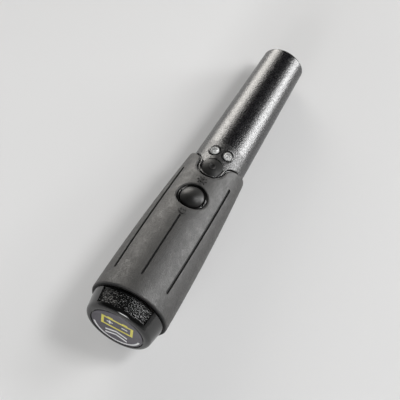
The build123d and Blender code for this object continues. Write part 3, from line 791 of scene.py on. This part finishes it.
stageSet = {
    "tipX": 187.5, "tipRadius": 12.36, "half": 2500.0, "tries": 400,
    "colour": (0.5, 0.5, 0.5), "patchScale": 6.0, "shares": (0.99, 1.01), "rough": 0.85, "specular": 0.1,
    # the paper's own glow: by x along the detector, more at its left as painted light that lifts
    # the outer part of the object's shadow there, and one level far from it
    "rearGlow": 0.27, "tipGlow": 0.19, "tipRamp": (-60.0, 230.0),
    "leftPaintedLight": 0.08, "leftPaintedLightRamp": (18.0, 52.0), "farGlow": 0.52, "farRamp": (1200.0, 2200.0),
}


def seenRays(tree):
    # 1 for the rays that show the stage itself: the camera's, and those in gloss and glass
    path = tree.nodes.new("ShaderNodeLightPath")
    names = ("Is Camera Ray", "Is Glossy Ray", "Is Transmission Ray")
    camera, gloss, glass = [Shade(tree, path.outputs[name]) for name in names]
    return camera.larger(gloss).larger(glass)


def makeFloor(look):
    # z falls from the tip to the rear with the slope at which tip and sleeve both touch
    sleeveX = np.linspace(0.0, sleeveShape["front"], look["tries"])
    slope = ((sleeveRadius(sleeveX) - look["tipRadius"]) / (look["tipX"] - sleeveX)).max()
    along = np.array([-1.0, 1.0, 1.0, -1.0]) * look["half"]
    across = np.array([-1.0, -1.0, 1.0, 1.0]) * look["half"]
    rise = -look["tipRadius"] + slope * (along - look["tipX"])
    mesh = bpy.data.meshes.new("floor")
    mesh.from_pydata(toFrame(np.stack([along, across, rise], 1)).tolist(), [], [(0, 1, 2, 3)])
    floor = bpy.data.objects.new("floor", mesh)
    scene.collection.objects.link(floor)
    material, shader, place = newMaterial("floorPaper", {
        "Roughness": look["rough"], "Specular IOR Level": look["specular"], "Emission Strength": 1.0,
    })
    patches = grain(place, look["patchScale"]).between(*noiseSpan)
    feed(shader, "Base Color", patches.mixColours(*shades(np.array(look["colour"]), look["shares"])))
    x, y = axisPlaces(place)[:2]
    glow = x.between(*look["tipRamp"]) * (look["tipGlow"] - look["rearGlow"]) + look["rearGlow"]
    # painted light: the floor to the object's left is lifted out of the outer part of its shadow
    glow = glow + y.between(*look["leftPaintedLightRamp"]) * look["leftPaintedLight"]
    glow = glow + reach(x, y).between(*look["farRamp"]) * (look["farGlow"] - glow)
    feed(shader, "Emission Color", seenRays(material.node_tree) * glow)
    mesh.materials.append(material)


lamps = {
    # angle from +z in the plane across the axis, positive towards the photograph's right;
    # along is the share of the direction that lies along the axis, towards the tip
    "keyPanel": {
        "angle": 31.0, "along": 0.2, "distance": 800.0, "size": (200.0, 200.0),
        "radiance": 24.0, "colour": (1.0, 1.0, 1.0),
    },
    "highPanel": {
        "angle": 52.0, "along": 0.5, "distance": 800.0, "size": (240.0, 260.0),
        "radiance": 5.0, "colour": (1.0, 1.0, 1.0),
    },
    "rightSoftbox": {
        "angle": 81.0, "along": 0.64, "distance": 1700.0, "size": (620.0, 1300.0),
        "radiance": 13.0, "colour": (1.0, 1.0, 1.0),
    },
    "leftSoftbox": {
        "angle": -78.0, "along": 0.68, "distance": 1700.0, "size": (1150.0, 1360.0),
        "radiance": 7.6, "colour": (1.0, 0.97, 0.92),
    },
    "rearFill": {
        "angle": 0.0, "along": -0.95, "distance": 1500.0, "size": (500.0, 500.0),
        "radiance": 9.0, "colour": (1.0, 1.0, 1.0),
    },
}
view = {
    "target": (75.0, 0.0, 0.0), "distance": 657.5, "lift": 60.4, "side": 11.0, "roll": 32.2,
    "focal": 1200.0, "centre": (195.9, 203.1), "frame": 400.0,  # in pixels
    "sensor": 36.0, "clip": (0.01, 100.0),
}
studio = {"zenith": 0.01, "horizon": 0.3, "paperRamp": (0.05, 0.35), "paper": 0.66}


def standAt(thing, right, up, back, distance):
    # puts a lamp or the camera at a distance from the view's target, looking at it
    target = Vector(toFrame(view["target"]))
    turnedTo = Matrix((right, up, back)).transposed().to_4x4()
    thing.matrix_world = Matrix.Translation(target + back * distance * mm) @ turnedTo


def makeLamp(name, look):
    data = bpy.data.lights.new(name, "AREA")
    data.shape = "RECTANGLE"
    data.size, data.size_y = look["size"][0] * mm, look["size"][1] * mm
    data.energy = look["radiance"] * math.pi * data.size * data.size_y  # watts for that radiance
    data.color = look["colour"]
    lamp = bpy.data.objects.new(name, data)
    scene.collection.objects.link(lamp)
    turn = math.radians(look["angle"])
    across = math.sqrt(1 - look["along"] ** 2)
    direction = Vector((look["along"], -across * math.sin(turn), across * math.cos(turn)))
    lengthways = (Vector((1, 0, 0)) - direction * direction.x).normalized()
    standAt(lamp, lengthways, direction.cross(lengthways), direction, look["distance"])


def makeCamera(look):
    lift, side, roll = (math.radians(look[key]) for key in ("lift", "side", "roll"))
    back = Vector((-math.cos(lift), -math.sin(lift) * math.sin(side), math.sin(lift) * math.cos(side)))
    along = (Vector((1, 0, 0)) - back * back.x).normalized()
    across = (-back).cross(along)
    right = math.cos(roll) * across + math.sin(roll) * along
    up = math.cos(roll) * along - math.sin(roll) * across
    data = bpy.data.cameras.new("camera")
    data.sensor_width = look["sensor"]
    data.lens = look["focal"] / look["frame"] * data.sensor_width
    data.shift_x = 0.5 - look["centre"][0] / look["frame"]
    data.shift_y = look["centre"][1] / look["frame"] - 0.5
    data.clip_start, data.clip_end = look["clip"]
    camera = bpy.data.objects.new("camera", data)
    scene.collection.objects.link(camera)
    standAt(camera, right, up, back, look["distance"])
    scene.camera = camera


def makeWorld(look):
    # pale paper near the horizon, dark overhead; the camera sees paper all round
    world = bpy.data.worlds.new("studio")
    world.use_nodes = True
    scene.world = world
    background = world.node_tree.nodes["Background"]
    start = world.node_tree.nodes.new("ShaderNodeTexCoord")
    direction = Shade(world.node_tree, start.outputs["Generated"])
    height = direction.node("ShaderNodeSeparateXYZ", out=2, Vector=direction)
    paper = 1 - height.between(*look["paperRamp"])
    light = paper * (look["horizon"] - look["zenith"]) + look["zenith"]
    path = world.node_tree.nodes.new("ShaderNodeLightPath")
    camera = Shade(world.node_tree, path.outputs["Is Camera Ray"])
    level = light * (1 - camera) + camera * look["paper"]
    feed(background, "Color", level)


makeFloor(stageSet)
for lampName, lampLook in lamps.items():
    makeLamp(lampName, lampLook)
makeCamera(view)
makeWorld(studio)
print("stage ready")
